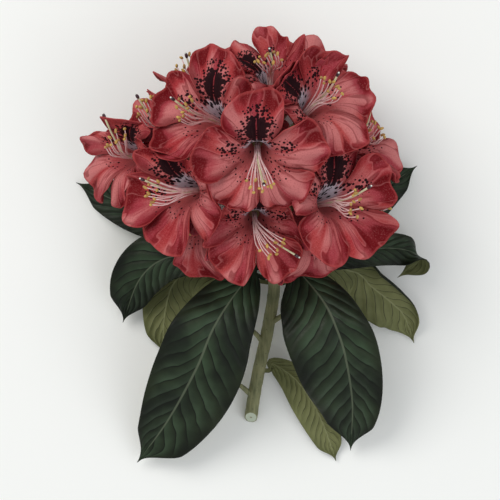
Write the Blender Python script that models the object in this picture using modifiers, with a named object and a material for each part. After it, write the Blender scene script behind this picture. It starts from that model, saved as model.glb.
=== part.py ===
# A cut flowering branch of a rhododendron: a leafy stem that ends in one full truss of blooms.
# It lies on its back, with the blooms up. +Y runs along the stem towards the truss, +Z is up.
# Sizes and places are in millimetres. Each mesh is scaled to metres when its object is made.

import math

import bmesh
import bpy
from mathutils import Matrix, Quaternion, Vector

METRES = 0.001
GAP = 0.3
# From the hub's own places to the middle of the branch's box, on the surface that it lies on.
SHIFT = (-0.5, -0.3, -0.8)

# The stem: a straight rise from its cut end to the tip of the truss's axis.
STEM_PATH = (
    (0.0, -98.0), (2.2, -82.5), (5.0, -67.0), (8.8, -50.0), (11.0, -38.0),
    (13.2, -24.0), (13.0, -10.0), (10.5, 8.0), (7.5, 28.0), (5.0, 50.0),
)
STEM_FOOT_Z = 5.0
STEM_RISE = 0.317
HUB_RADIUS = 8.5
STEM_RADIUS_FOOT = 3.6
STEM_RADIUS_TOP = 3.0
STEM_SIDES = 12
CUT_PLACE = (0.0, -95.0)
CUT_SLOPE = 50.0

# Short stalks of fallen leaves, each with its place along Y, its turn about the stem and its length,
# and buds, each with its place and turn. A tilt is from straight up, a lean is towards the stem's tip.
STALKS = {"stalk_left": (-54, 152, 9.0), "stalk_right": (-41, 12, 12.0), "stalk_low": (-84, 160, 10.0)}
STALK_TILT = 62.0
STALK_LEAN = 0.4
STALK_RADII = (1.7, 1.1)
BUDS = {"bud_upper": (-50, 70), "bud_low": (-81, 120)}
BUD_TILT = 60.0
BUD_LEAN = 0.9
BUD_LENGTH = 8.0
BUD_WIDTH = 4.4
BUD_STAND = 1.2

# The corolla's bell, with shares counted along a petal from the tube's foot to the lobe's tip.
LOBES = 5
TUBE_RADIUS = 2.6
TUBE_ANGLE = 16.0
RIM_ANGLE = 100.0
FLARE_START = 0.20
FLARE_END = 0.82
PETAL_LENGTH_PER_RADIUS = 1.5
PETAL_THICKNESS = 1.2
PETAL_COLUMNS = 4
PETAL_ROWS = (0.0, 0.24, 0.45, 0.64, 0.83, 1.0)

# The lobes: free of each other from the split on, each one cupped or turned back in its own way.
SPLIT = 0.52
EDGE_DROP = 0.20
TIP_NOTCH = 0.05
LOBE_SPREAD = -0.06
RUFFLE = 2.2
CUP_MIDDLE = -0.06
CUP_SWING = 0.26
CUP_CLOSING = 0.5

# The stalk of a bloom and the cup that holds its tube.
PEDICEL_RADIUS = 1.3
PEDICEL_SIDES = 6
PEDICEL_END = -1.5
CALYX_RADIUS = 3.3
CALYX_REACH = (-4.0, 1.4)

# Each bloom: its face's centre, the way it faces (turn in plan, tilt from straight up),
# the turn in plan of its blotched lobe, and its radius.
BLOOMS = {
    "bloom_centre": ((4.0, 46.5, 114.0), (-90, 24), 92, 38.5),
    "bloom_upper_left": ((-25.0, 72.0, 92.0), (158, 34), 78, 38.0),
    "bloom_left": ((-38.5, 30.5, 88.0), (192, 32), 114, 36.0),
    "bloom_far_left": ((-71.0, 52.0, 63.0), (176, 42), 60, 31.0),
    "bloom_left_shoulder": ((-50.0, 67.0, 54.0), (148, 58), 90, 31.0),
    "bloom_top_shoulder": ((-29.0, 92.0, 54.0), (120, 68), 90, 31.0),
    "bloom_top": ((11.0, 98.0, 87.0), (92, 42), 144, 27.5),
    "bloom_top_right": ((28.5, 99.0, 70.0), (72, 60), 60, 32.0),
    "bloom_upper_right": ((37.5, 81.5, 92.0), (46, 34), 162, 36.0),
    "bloom_right": ((48.0, 26.5, 88.0), (10, 30), 94, 38.0),
    "bloom_far_right": ((63.0, 62.0, 58.0), (35, 66), 110, 33.0),
    "bloom_right_shoulder": ((61.0, 24.0, 50.0), (-8, 78), 80, 30.0),
    "bloom_low": ((3.5, 12.0, 84.0), (-82, 20), 90, 33.5),
    "bloom_low_right": ((38.0, 5.0, 66.0), (-50, 52), 60, 35.0),
    "bloom_low_left": ((-34.0, 10.0, 62.0), (-128, 52), 110, 36.0),
    "bloom_back_left": ((-43.0, 66.0, 21.0), (150, 118), 100, 31.0),
    "bloom_back_top": ((-6.0, 90.0, 22.0), (98, 116), 90, 31.0),
    "bloom_back_right": ((43.0, 70.0, 21.0), (30, 118), 80, 31.0),
    "bloom_back": ((4.0, 58.0, 9.0), (90, 176), 90, 25.0),
}

# The collar is the sloping plane between the truss above it and the whorl of leaves below it.
COLLAR_POINT = (0.0, -16.0, 44.0)
COLLAR_NORMAL = (0.0, 0.447, 0.894)
# A petal that reaches its neighbour's space bends, over this share of its distance from the hub,
# and slides this far along its bloom's axis for each millimetre that it is pressed in.
PRESS_DEPTH = 0.13
PRESS_TURN = 0.45
# Where it still touches a plane, it is pressed again within this share of that depth.
LAST_PRESS = 0.25

# The leaves' blades. A blade's stalk leaves the stem straight before it follows its midrib.
LEAF_THICKNESS = 1.4
LEAF_COLUMNS = 4
LEAF_ROWS = 14
PETIOLE_HALF = 1.2
PETIOLE_SHARE = 0.08
PETIOLE_START = 4.0
LEAF_TROUGH = 0.10
TIP_START = 0.9
TIP_NARROWING = 0.75
LEAF_PRESS_DEPTH = 4.0
LEAF_MARGIN = 0.05
# A blade turns its face upwards by this share at each row, where it isn't steeper than the limit.
UPRIGHT_SHARE = 0.7
UPRIGHT_LIMIT = 0.3

# Each leaf: where along Y it leaves the stem, its midrib, its left and its right side as seen along it
# (width, share of its length where that is widest, fullness below 1), its bank in degrees at the base
# and the tip and how far its end is twisted over, and whether its underside is up.
TWIST_START = 0.70
TWIST_END = 0.90
LEAVES = {
    "leaf_front_left": (
        -4, ((3.5, -10.0, 39.0), (-8.3, -24.0, 47.0), (-20.4, -43.5, 51.0),
             (-29.7, -65.5, 44.0), (-45.7, -94.6, 24.0), (-63.5, -119.5, 7.0)),
        (25.0, 0.52, 0.50), (22.0, 0.42, 0.75), (0, 8, 0), False),
    "leaf_front_right": (
        -9, ((22.0, -8.0, 35.5), (31.0, -16.0, 42.0), (41.2, -29.0, 48.5), (47.3, -42.0, 51.5),
             (52.5, -58.0, 48.0), (57.0, -85.0, 29.0), (56.5, -112.5, 9.0)),
        (17.5, 0.50, 0.60), (28.5, 0.38, 0.72), (0, -6, 0), False),
    "leaf_right_mid": (
        -12, ((36.0, -7.0, 30.0), (56.0, -2.0, 26.0), (74.0, 1.0, 20.0), (89.0, -0.5, 17.0),
              (95.0, -6.0, 14.0), (83.0, -15.5, 8.0)),
        (7.5, 0.55, 0.68), (8.5, 0.55, 0.68), (0, 0, 165), False),
    "leaf_right_low": (
        -17, ((36.0, -10.0, 23.0), (58.6, -12.3, 18.0), (67.8, -20.2, 16.0), (79.0, -29.2, 13.0),
              (86.6, -37.1, 9.0), (92.4, -52.4, 3.0)),
        (11.0, 0.56, 0.68), (16.0, 0.56, 0.68), (-10, -10, 0), True),
    "leaf_right_top": (
        -5, ((34.0, 4.0, 25.0), (58.0, 20.0, 18.0), (75.0, 34.0, 12.0), (94.0, 47.3, 6.0)),
        (13.0, 0.52, 0.68), (11.5, 0.52, 0.68), (0, 0, 0), False),
    "leaf_left_top": (
        -9, ((-14.0, 2.0, 25.0), (-38.0, 13.0, 19.0), (-67.0, 24.0, 12.0), (-98.0, 38.0, 4.0)),
        (12.0, 0.58, 0.68), (12.0, 0.58, 0.68), (0, 0, 0), False),
    "leaf_left_mid": (
        -14, ((-10.0, -7.0, 32.0), (-28.0, -3.0, 31.0), (-48.0, -5.0, 28.0),
              (-62.0, -17.0, 21.0), (-71.5, -40.7, 8.0)),
        (12.0, 0.58, 0.68), (15.5, 0.58, 0.68), (0, 10, 0), False),
    "leaf_left_low": (
        -20, ((-11.0, -15.0, 18.0), (-30.0, -12.0, 13.0), (-43.0, -19.0, 9.0),
              (-48.5, -40.0, 6.0), (-47.9, -60.5, 3.0)),
        (14.0, 0.56, 0.68), (13.0, 0.56, 0.68), (0, 0, 0), True),
    "leaf_lower": (
        -67, ((13.0, -64.0, 9.5), (24.8, -72.0, 10.0), (34.0, -84.0, 8.5),
              (41.5, -99.0, 6.0), (48.5, -119.0, 3.0)),
        (11.5, 0.50, 0.68), (10.5, 0.50, 0.68), (0, 0, 0), True),
}

COLOURS = {
    "petal": ((0.44, 0.075, 0.10), 0.55),
    "leaf": ((0.018, 0.036, 0.020), 0.38),
    "leaf_underside": ((0.13, 0.15, 0.06), 0.6),
    "bark": ((0.15, 0.16, 0.07), 0.75),
}


def smooth_step(start, end, value):
    """0 before start, 1 after end, and an even rise between."""
    share = min(1.0, max(0.0, (value - start) / (end - start)))
    return share * share * (3 - 2 * share)


def direction(turn, tilt):
    """The unit vector at this turn in plan and this tilt from straight up, in degrees."""
    around, down = math.radians(turn), math.radians(tilt)
    return Vector((math.cos(around) * math.sin(down), math.sin(around) * math.sin(down), math.cos(down)))


def smooth_path(points, count):
    """Points at even steps on a smooth curve through these."""
    points = [Vector(p) for p in points]
    ends = [2 * points[0] - points[1], *points, 2 * points[-1] - points[-2]]
    fine = []
    steps = 24
    for a, b, c, d in zip(ends, ends[1:], ends[2:], ends[3:]):
        for step in range(steps):
            t = step / steps
            fine.append(0.5 * (2 * b + (c - a) * t + (2 * a - 5 * b + 4 * c - d) * t * t
                               + (3 * b - a - 3 * c + d) * t ** 3))
    fine.append(points[-1])
    reach = [0.0]
    for before, after in zip(fine, fine[1:]):
        reach.append(reach[-1] + (after - before).length)
    even, place = [], 0
    for index in range(count):
        wanted = reach[-1] * index / (count - 1)
        while place < len(fine) - 2 and reach[place + 1] < wanted:
            place += 1
        share = (wanted - reach[place]) / (reach[place + 1] - reach[place])
        even.append(fine[place].lerp(fine[place + 1], share))
    return even


def stem_axis():
    """The stem's centre line from its foot to its tip."""
    return smooth_path([(x, y, STEM_FOOT_Z + STEM_RISE * (y - CUT_PLACE[1])) for x, y in STEM_PATH], 40)


def stem_radius(share):
    return STEM_RADIUS_FOOT + (STEM_RADIUS_TOP - STEM_RADIUS_FOOT) * share


def stem_near(place):
    """The nearest point of the stem's centre line, the stem's direction and its radius there."""
    axis = stem_axis()
    index = min(range(len(axis)), key=lambda i: (axis[i] - place).length)
    ahead = (axis[min(index + 1, len(axis) - 1)] - axis[max(index - 1, 0)]).normalized()
    return axis[index], ahead, stem_radius(index / (len(axis) - 1))


def stem_at(y):
    """The same where the stem passes this Y."""
    axis = stem_axis()
    return stem_near(min(axis, key=lambda p: abs(p.y - y)))


def hub():
    """The middle of the knob that ends the stem, from which every bloom's stalk rises."""
    return stem_axis()[-1]


def pressed(point, planes, clear, depth, turn=Vector()):
    """The point eased inside each plane (normal, distance). What is pressed in slides along turn."""
    for normal, distance in planes:
        beyond = normal.dot(point) - distance
        if beyond > -depth:
            room = depth - clear
            kept = -clear - room * math.exp(-(beyond + depth) / room)
            along = turn - turn.dot(normal) * normal
            point = point + normal * (kept - beyond) + along * (beyond - kept)
    return point


def settled(point, planes, clear, depth, turn):
    """The point pressed with a turn, then again within a short depth, so that it ends inside all planes."""
    point = pressed(point, planes, clear, depth, turn)
    for _ in range(3):
        point = pressed(point, planes, clear, max(LAST_PRESS * depth, 2 * clear))
    return point


def petal_profile(length):
    """Radius and height along a petal, from the tube's foot to the lobe's tip, as it flares."""
    steps = 40
    radius, height, profile = TUBE_RADIUS, 0.0, []
    for index in range(steps + 1):
        profile.append((radius, height))
        flare = smooth_step(FLARE_START, FLARE_END, (index + 0.5) / steps)
        angle = math.radians(TUBE_ANGLE + (RIM_ANGLE - TUBE_ANGLE) * flare)
        radius += math.sin(angle) * length / steps
        height += math.cos(angle) * length / steps
    return profile


def on_profile(profile, share):
    place = share * (len(profile) - 1)
    index = min(int(place), len(profile) - 2)
    low, high = profile[index], profile[index + 1]
    return [a + (b - a) * (place - index) for a, b in zip(low, high)]


class Bloom:
    """Where a bloom's tube stands, how it is turned, and the planes that keep it to its own space."""

    def __init__(self, number, name):
        centre, facing, blotch, self.radius = BLOOMS[name]
        self.number, self.name = number, name
        self.centre = Vector(centre)
        self.axis = direction(*facing)
        plan = direction(blotch, 90)
        self.up = (plan - plan.dot(self.axis) * self.axis).normalized()
        self.side = self.up.cross(self.axis)
        self.profile = petal_profile(PETAL_LENGTH_PER_RADIUS * self.radius)
        self.depth = max(height for _, height in self.profile)
        self.foot = self.centre - self.depth * self.axis
        middle = hub()
        self.outward = (self.centre - middle).normalized()
        self.reach = math.atan2(self.radius, (self.centre - middle).length)
        self.stalk_end = middle + (HUB_RADIUS + 3 * GAP) * self.outward
        near, _, stem_thick = stem_near(self.foot)
        aside = (self.foot - near).normalized()
        self.planes = [
            (Vector((0, 0, -1)), 0.0),
            (-Vector(COLLAR_NORMAL), -Vector(COLLAR_NORMAL).dot(Vector(COLLAR_POINT))),
            (-aside, -aside.dot(near) - stem_thick),
            (-self.outward, -self.outward.dot(middle) - HUB_RADIUS - GAP),
        ]

    def place(self, x, y, z):
        """A point given across, up and out of the mouth, in the plant's space."""
        return self.foot + x * self.side + y * self.up + z * self.axis

    def petal_point(self, lobe, across, along):
        """A point of the petals: across from -1 to 1 over the lobe, along from 0 to 1."""
        reach = 1 - EDGE_DROP * abs(across) ** 3 - TIP_NOTCH * math.exp(-((across / 0.2) ** 2))
        share = along * reach
        radius, height = on_profile(self.profile, share)
        free = smooth_step(SPLIT, 1.0, share)
        phase = 1.7 * self.number + 2.3 * lobe
        cup = CUP_MIDDLE + CUP_SWING * math.sin(2.3 * phase + 1.0) if lobe else 0.0
        height += free * self.radius * cup * (0.45 * across * across + 0.55 * free)
        height += free * RUFFLE * math.sin(4.6 * across + phase)
        radius *= 1 - CUP_CLOSING * max(0.0, cup) * free * free
        angle = math.radians(90 + 360 / LOBES * (lobe + across / 2 * (1 + LOBE_SPREAD * free)))
        return self.place(radius * math.cos(angle), radius * math.sin(angle), height)


def part_spaces(blooms):
    """Parts each pair of blooms by a plane through the hub, nearer the smaller of the two."""
    middle = hub()
    for index, first in enumerate(blooms):
        for second in blooms[index + 1:]:
            turn = first.outward.rotation_difference(second.outward)
            share = first.reach / (first.reach + second.reach)
            edge = Quaternion(turn.axis, turn.angle * share) @ first.outward
            normal = turn.axis.cross(edge).normalized()
            distance = normal.dot(middle)
            first.planes.append((normal, distance))
            second.planes.append((-normal, -distance))


def add_object(name, mesh, colour, collection):
    """Scales a bmesh to metres and makes it an object with a plain material."""
    bmesh.ops.transform(mesh, matrix=Matrix.Scale(METRES, 4), verts=mesh.verts)
    bmesh.ops.recalc_face_normals(mesh, faces=mesh.faces)
    data = bpy.data.meshes.new(name)
    mesh.to_mesh(data)
    mesh.free()
    data.materials.append(material(colour))
    data.shade_smooth()
    made = bpy.data.objects.new(name, data)
    collection.objects.link(made)
    return made


def material(name):
    """The plain material of this name, made once."""
    if name in bpy.data.materials:
        return bpy.data.materials[name]
    colour, roughness = COLOURS[name]
    made = bpy.data.materials.new(name)
    made.use_nodes = True
    shader = made.node_tree.nodes["Principled BSDF"]
    shader.inputs["Base Color"].default_value = (*colour, 1)
    shader.inputs["Roughness"].default_value = roughness
    return made


def thicken(made, thickness):
    """Gives an open sheet its thickness, half to each side."""
    modifier = made.modifiers.new("thickness", "SOLIDIFY")
    modifier.thickness = thickness * METRES
    modifier.offset = 0.0


def keep_largest(data):
    """Drops loose scraps and sealed hollows, so that one closed body is left."""
    shape = bmesh.new()
    shape.from_mesh(data)
    waiting, bodies = set(shape.faces), []
    while waiting:
        body, border = set(), [waiting.pop()]
        while border:
            face = border.pop()
            body.add(face)
            near = {other for edge in face.edges for other in edge.link_faces} & waiting
            waiting -= near
            border.extend(near)
        bodies.append(body)
    bodies.sort(key=len)
    scraps = [face for body in bodies[:-1] for face in body]
    bmesh.ops.delete(shape, geom=scraps, context="FACES")
    shape.to_mesh(data)
    shape.free()


def fuse(made, helpers, collection):
    """Joins the helper solids to the object, applies all its modifiers and removes the helpers."""
    group = bpy.data.collections.new(made.name + "_pieces")
    bpy.context.scene.collection.children.link(group)
    for helper in helpers:
        collection.objects.unlink(helper)
        group.objects.link(helper)
    modifier = made.modifiers.new("join", "BOOLEAN")
    modifier.operation = "UNION"
    modifier.operand_type = "COLLECTION"
    modifier.collection = group
    modifier.solver = "EXACT"
    graph = bpy.context.evaluated_depsgraph_get()
    joined = bpy.data.meshes.new_from_object(made.evaluated_get(graph))
    made.modifiers.clear()
    keep_largest(joined)
    made.data = joined
    for helper in helpers:
        bpy.data.objects.remove(helper)
    bpy.data.collections.remove(group)


def add_cone(mesh, start, end, radius_start, radius_end, sides):
    """A closed tapering rod between two points."""
    span = end - start
    turn = span.to_track_quat("Z", "Y").to_matrix().to_4x4()
    bmesh.ops.create_cone(mesh, cap_ends=True, segments=sides, radius1=radius_start, radius2=radius_end,
                          depth=span.length, matrix=Matrix.Translation((start + end) / 2) @ turn)


def add_bloom(bloom, parts):
    """The bell of five petals with its calyx and stalk, pressed into the bloom's own space."""
    bell = bmesh.new()
    for lobe in range(LOBES):
        grid = bmesh.ops.create_grid(bell, x_segments=PETAL_COLUMNS, y_segments=len(PETAL_ROWS) - 1, size=1)
        for vertex in grid["verts"]:
            row = round((vertex.co.y + 1) / 2 * (len(PETAL_ROWS) - 1))
            vertex.co = bloom.petal_point(lobe, vertex.co.x, PETAL_ROWS[row])
    bmesh.ops.remove_doubles(bell, verts=bell.verts, dist=0.01)
    foot = [edge for edge in bell.edges if edge.is_boundary
            and all((v.co - bloom.foot).length < 1.1 * TUBE_RADIUS for v in edge.verts)]
    bmesh.ops.contextual_create(bell, geom=foot)
    made = add_object(bloom.name, bell, "petal", parts)
    thicken(made, PETAL_THICKNESS)

    calyx = bmesh.new()
    add_cone(calyx, bloom.foot + CALYX_REACH[0] * bloom.axis, bloom.foot + CALYX_REACH[1] * bloom.axis,
             PEDICEL_RADIUS, CALYX_RADIUS, PEDICEL_SIDES)
    pedicel = bmesh.new()
    add_cone(pedicel, bloom.stalk_end, bloom.foot + PEDICEL_END * bloom.axis,
             PEDICEL_RADIUS, PEDICEL_RADIUS, PEDICEL_SIDES)
    fuse(made, [add_object("calyx", calyx, "leaf_underside", parts),
                add_object("pedicel", pedicel, "leaf_underside", parts)], parts)
    middle = hub()
    for vertex in made.data.vertices:
        point = vertex.co / METRES
        depth = max(3 * GAP, PRESS_DEPTH * (point - middle).length)
        vertex.co = settled(point, bloom.planes, GAP / 2, depth, PRESS_TURN * bloom.axis) * METRES


def leaf_frames(points):
    """Along a midrib: each point with the leaf's side and the normal of its upper face."""
    frames = []
    normal = Vector((0, 0, 1))
    for index, point in enumerate(points):
        ahead = (points[min(index + 1, len(points) - 1)] - points[max(index - 1, 0)]).normalized()
        normal = (normal - normal.dot(ahead) * ahead).normalized()
        upright = Vector((0, 0, 1)) - ahead.z * ahead
        if upright.dot(normal) > UPRIGHT_LIMIT:
            normal = normal.lerp(upright.normalized(), UPRIGHT_SHARE).normalized()
        frames.append((point, ahead.cross(normal), normal))
    return frames


def leaf_width(share, side):
    """The blade's width on one side at this share of its length."""
    width, widest, fullness = side
    power = math.log(0.5) / math.log(widest)
    return width * max(0.0, math.sin(math.pi * share ** power)) ** fullness


def add_leaf(name, parts):
    """One leaf: a sheet that follows its midrib, with its stalk, 0.3 mm clear of the stem."""
    station, midrib, left, right, (bank_base, bank_tip, twist), underside_up = LEAVES[name]
    near, ahead, stem_thick = stem_at(station)
    out = Vector(midrib[0]) - near
    out = (out - out.dot(ahead) * ahead).normalized()
    start = near + (stem_thick + 3 * GAP) * out
    points = smooth_path([start, start + PETIOLE_START * out, *midrib], LEAF_ROWS + 1)
    frames = leaf_frames(points)
    blade = bmesh.new()
    grid = bmesh.ops.create_grid(blade, x_segments=LEAF_COLUMNS, y_segments=LEAF_ROWS, size=1)
    collar = [(Vector(COLLAR_NORMAL), Vector(COLLAR_NORMAL).dot(Vector(COLLAR_POINT))),
              (Vector((0, 0, -1)), 0.0)]
    for vertex in grid["verts"]:
        across = vertex.co.x
        along = (vertex.co.y + 1) / 2
        point, side, normal = frames[round(along * LEAF_ROWS)]
        share = max(0.0, (along - PETIOLE_SHARE) / (1 - PETIOLE_SHARE))
        half = PETIOLE_HALF + leaf_width(share, left if across < 0 else right)
        half *= 1 - TIP_NARROWING * smooth_step(TIP_START, 1.0, along)
        bank = math.radians(bank_base + (bank_tip - bank_base) * along
                            + twist * smooth_step(TWIST_START, TWIST_END, along))
        lift = math.sin(bank) * across * half + LEAF_TROUGH * abs(across) * half
        vertex.co = pressed(point + math.cos(bank) * across * half * side + lift * normal,
                            collar, GAP / 2 + LEAF_THICKNESS / 2 + LEAF_MARGIN, LEAF_PRESS_DEPTH)
    thicken(add_object(name, blade, "leaf_underside" if underside_up else "leaf", parts), LEAF_THICKNESS)


def add_stem(parts):
    """The stem: one tapering limb with a slanting flat cut, its buds and the stalks of fallen leaves."""
    axis = stem_axis()
    curve = bpy.data.curves.new("stem_line", "CURVE")
    curve.dimensions = "3D"
    curve.bevel_depth = METRES
    curve.bevel_resolution = STEM_SIDES // 4
    curve.use_fill_caps = True
    line = curve.splines.new("POLY")
    line.points.add(len(axis[::2]) - 1)
    for place, point in zip(line.points, axis[::2]):
        place.co = (*(point * METRES), 1)
        place.radius = stem_radius(axis.index(point) / (len(axis) - 1))
    guide = bpy.data.objects.new("stem_line", curve)
    parts.objects.link(guide)
    bpy.context.view_layer.update()
    graph = bpy.context.evaluated_depsgraph_get()
    shape = bmesh.new()
    shape.from_mesh(bpy.data.meshes.new_from_object(guide.evaluated_get(graph)))
    bpy.data.objects.remove(guide)
    bmesh.ops.transform(shape, matrix=Matrix.Scale(1 / METRES, 4), verts=shape.verts)
    bmesh.ops.remove_doubles(shape, verts=shape.verts, dist=0.01)
    foot, ahead, _ = stem_near(Vector((*CUT_PLACE, STEM_FOOT_Z)))
    face = Matrix.Rotation(-math.radians(CUT_SLOPE), 3, "X") @ -ahead
    cut = bmesh.ops.bisect_plane(shape, geom=[*shape.verts, *shape.edges, *shape.faces],
                                 plane_co=foot, plane_no=face, clear_outer=True)
    rim = [item for item in cut["geom_cut"] if isinstance(item, bmesh.types.BMEdge)]
    bmesh.ops.contextual_create(shape, geom=rim)
    made = add_object("stem", shape, "bark", parts)
    knob = bmesh.new()
    bmesh.ops.create_uvsphere(knob, u_segments=12, v_segments=8, radius=HUB_RADIUS)
    bmesh.ops.translate(knob, vec=hub(), verts=knob.verts)
    helpers = [add_object("hub", knob, "bark", parts)]
    for name, (y, turn, length) in STALKS.items():
        near, ahead, thick = stem_at(y)
        out = (direction(turn, STALK_TILT) + STALK_LEAN * ahead).normalized()
        stalk = bmesh.new()
        add_cone(stalk, near, near + (thick + length) * out, *STALK_RADII, PEDICEL_SIDES)
        helpers.append(add_object(name, stalk, "bark", parts))
    for name, (y, turn) in BUDS.items():
        near, ahead, thick = stem_at(y)
        out = (direction(turn, BUD_TILT) + BUD_LEAN * ahead).normalized()
        bud = bmesh.new()
        bmesh.ops.create_uvsphere(bud, u_segments=8, v_segments=6, radius=1)
        bmesh.ops.scale(bud, vec=(BUD_WIDTH / 2, BUD_WIDTH / 2, BUD_LENGTH / 2), verts=bud.verts)
        turned = out.to_track_quat("Z", "Y").to_matrix().to_4x4()
        place = Matrix.Translation(near + (thick + BUD_STAND) * out)
        bmesh.ops.transform(bud, matrix=place @ turned, verts=bud.verts)
        helpers.append(add_object(name, bud, "bark", parts))
    fuse(made, helpers, parts)


def main():
    for old in list(bpy.data.objects):
        bpy.data.objects.remove(old)
    parts = bpy.data.collections.new("rhododendron_branch")
    bpy.context.scene.collection.children.link(parts)
    add_stem(parts)
    for name in LEAVES:
        add_leaf(name, parts)
    blooms = [Bloom(number, name) for number, name in enumerate(BLOOMS)]
    part_spaces(blooms)
    for bloom in blooms:
        add_bloom(bloom, parts)
    stand = bpy.data.objects.new("branch", None)
    stand.location = Vector(SHIFT) * METRES
    for made in list(parts.objects):
        made.parent = stand
    parts.objects.link(stand)


main()
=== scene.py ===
# A cut rhododendron branch in bloom: ruffled petals, stamens, leathery leaves and an olive stem.
# Shapes are worked out in millimetres round the branch's own stem, then moved onto the frame.
import math

import bmesh
import bpy
import numpy as np
from mathutils import Matrix, Quaternion, Vector, noise


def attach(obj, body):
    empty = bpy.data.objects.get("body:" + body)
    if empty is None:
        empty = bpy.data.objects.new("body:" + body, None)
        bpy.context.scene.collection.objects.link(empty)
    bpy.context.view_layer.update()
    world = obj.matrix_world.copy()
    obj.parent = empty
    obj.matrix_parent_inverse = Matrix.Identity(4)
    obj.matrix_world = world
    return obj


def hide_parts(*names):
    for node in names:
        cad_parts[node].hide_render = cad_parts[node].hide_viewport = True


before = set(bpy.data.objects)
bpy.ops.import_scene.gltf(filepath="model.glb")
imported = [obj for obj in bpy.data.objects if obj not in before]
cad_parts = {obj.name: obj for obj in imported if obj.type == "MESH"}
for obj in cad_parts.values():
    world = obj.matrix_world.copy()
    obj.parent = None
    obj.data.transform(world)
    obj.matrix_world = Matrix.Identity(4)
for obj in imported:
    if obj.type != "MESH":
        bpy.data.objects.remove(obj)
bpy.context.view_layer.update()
print("frame loaded:", len(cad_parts), "nodes")

metres = 0.001
shift = Vector((-0.5, -0.3, -0.8))


# Curves and places along the stem

def smoothStep(start, end, value):
    share = min(1.0, max(0.0, (value - start) / (end - start)))
    return share * share * (3 - 2 * share)


def direction(turn, tilt):  # turn in plan and tilt from straight up, in degrees
    around, down = math.radians(turn), math.radians(tilt)
    return Vector((math.cos(around) * math.sin(down), math.sin(around) * math.sin(down), math.cos(down)))


def smoothPath(points, count):  # evenly spaced points on a smooth curve through these
    points = [Vector(p) for p in points]
    ends = [2 * points[0] - points[1], *points, 2 * points[-1] - points[-2]]
    fine = []
    steps = 24
    for a, b, c, d in zip(ends, ends[1:], ends[2:], ends[3:]):
        for step in range(steps):
            t = step / steps
            fine.append(0.5 * (2 * b + (c - a) * t + (2 * a - 5 * b + 4 * c - d) * t * t
                               + (3 * b - a - 3 * c + d) * t ** 3))
    fine.append(points[-1])
    reach = [0.0]
    for before, after in zip(fine, fine[1:]):
        reach.append(reach[-1] + (after - before).length)
    even, place = [], 0
    for index in range(count):
        wanted = reach[-1] * index / (count - 1)
        while place < len(fine) - 2 and reach[place + 1] < wanted:
            place += 1
        share = (wanted - reach[place]) / (reach[place + 1] - reach[place])
        even.append(fine[place].lerp(fine[place + 1], share))
    return even


def aheadAt(points, index):
    return (points[min(index + 1, len(points) - 1)] - points[max(index - 1, 0)]).normalized()


def carriedFrames(points):  # at each point: the way ahead and two directions across it, without twist
    frames = []
    across = (points[1] - points[0]).normalized().orthogonal().normalized()
    for index, point in enumerate(points):
        ahead = aheadAt(points, index)
        across = (across - across.dot(ahead) * ahead).normalized()
        frames.append((point, across, ahead.cross(across), ahead))
    return frames


def tubeShape(sides, rows):  # a closed rod of length 1 with rings of vertices, to be bent along a path
    rod = bmesh.new()
    bmesh.ops.create_cone(rod, cap_ends=True, segments=sides, radius1=1, radius2=1, depth=1)
    sideEdges = [e for e in rod.edges if abs(e.verts[0].co.z - e.verts[1].co.z) > 0.5]
    bmesh.ops.subdivide_edges(rod, edges=sideEdges, cuts=rows - 1, use_grid_fill=True)
    return keptShape(rod, "rod")


def ballShape(around, upward):
    ball = bmesh.new()
    bmesh.ops.create_uvsphere(ball, u_segments=around, v_segments=upward, radius=1)
    return keptShape(ball, "ball")


def keptShape(mesh, name):
    data = bpy.data.meshes.new(name)
    mesh.to_mesh(data)
    mesh.free()
    return data


def stamp(mesh, shape, placed, material=0):  # adds a copy of the shape, each vertex placed by a rule
    start, firstFace = len(mesh.verts), len(mesh.faces)
    mesh.from_mesh(shape)
    mesh.verts.ensure_lookup_table()
    mesh.faces.ensure_lookup_table()
    for vertex in mesh.verts[start:]:
        vertex.co = placed(vertex.co)
    for face in mesh.faces[firstFace:]:
        face.material_index = material
        face.smooth = True


def sweep(mesh, shape, path, radius):  # bends a rod along the path; radius is a rule of the share
    frames = carriedFrames(path)

    def placed(co):
        share = co.z + 0.5
        point, across, upward, _ = frames[min(len(frames) - 1, round(share * (len(frames) - 1)))]
        return point + (co.x * across + co.y * upward) * radius(share)
    stamp(mesh, shape, placed)


def stretchBall(mesh, shape, middle, ahead, halfLength, halfWidth, material=0):
    turned = ahead.to_track_quat("Z", "Y")
    stamp(mesh, shape, lambda co: middle + turned @ Vector((co.x * halfWidth, co.y * halfWidth,
                                                            co.z * halfLength)), material)


def linked(name, data):
    made = bpy.data.objects.new(name, data)
    bpy.context.scene.collection.objects.link(made)
    return made


def addPiece(name, mesh, materials, replaced=None):
    bmesh.ops.translate(mesh, vec=shift, verts=mesh.verts)
    bmesh.ops.scale(mesh, vec=(metres,) * 3, verts=mesh.verts)
    data = keptShape(mesh, name)
    for material in materials:
        data.materials.append(material)
    piece = linked(name, data)
    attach(piece, "root")
    if replaced:
        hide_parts(replaced)
    return piece


def thicken(piece, thickness):  # half to each side; the far side takes the piece's next material
    modifier = piece.modifiers.new("thickness", "SOLIDIFY")
    modifier.thickness = thickness * metres
    modifier.offset = 0.0
    modifier.material_offset = 1


# Pressing: a vertex that would leave its own space bends along the planes that bound it

def pressed(points, planes, clear, depth, turn):
    room = depth - clear
    for normal, distance in planes:
        beyond = points @ normal - distance
        kept = -clear - room * np.exp(-np.maximum(beyond + depth, 0) / room)
        push = np.where(beyond > -depth, kept - beyond, 0)
        along = turn - turn.dot(normal) * normal
        points = points + push[:, None] * (normal - along)
    return points


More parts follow.
